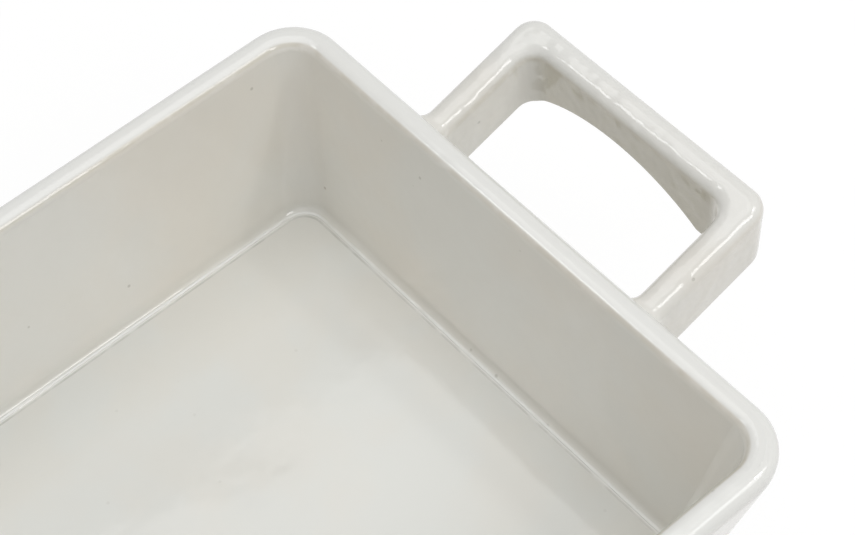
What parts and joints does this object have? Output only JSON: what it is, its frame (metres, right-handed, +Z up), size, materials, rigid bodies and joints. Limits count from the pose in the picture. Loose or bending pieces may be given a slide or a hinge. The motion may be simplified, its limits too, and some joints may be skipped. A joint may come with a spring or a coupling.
{
  "type": "lasagna dish",
  "caption": "Deep rectangular glazed ceramic oven dish with drafted walls, a rolled rim, a raised foot ring and an upswept loop handle at each end.",
  "frame": {"origin": "on the table, under the middle of the dish, at the height of the foot ring's flat ground face", "axes": "+X along the long side, towards the handle seen in the picture; +Y across the dish; +Z up, out of the mouth"},
  "size_m": [0.4406, 0.232, 0.0908],
  "materials": {
    "glaze": "glossy warm off-white glaze with fine pinholes"
  },
  "bodies": {
    "root": {"dish_body": "glaze", "handle_right": "glaze", "handle_left": "glaze", "root_right_far": "glaze", "root_right_near": "glaze", "root_left_far": "glaze", "root_left_near": "glaze"}
  },
  "joints": []
}
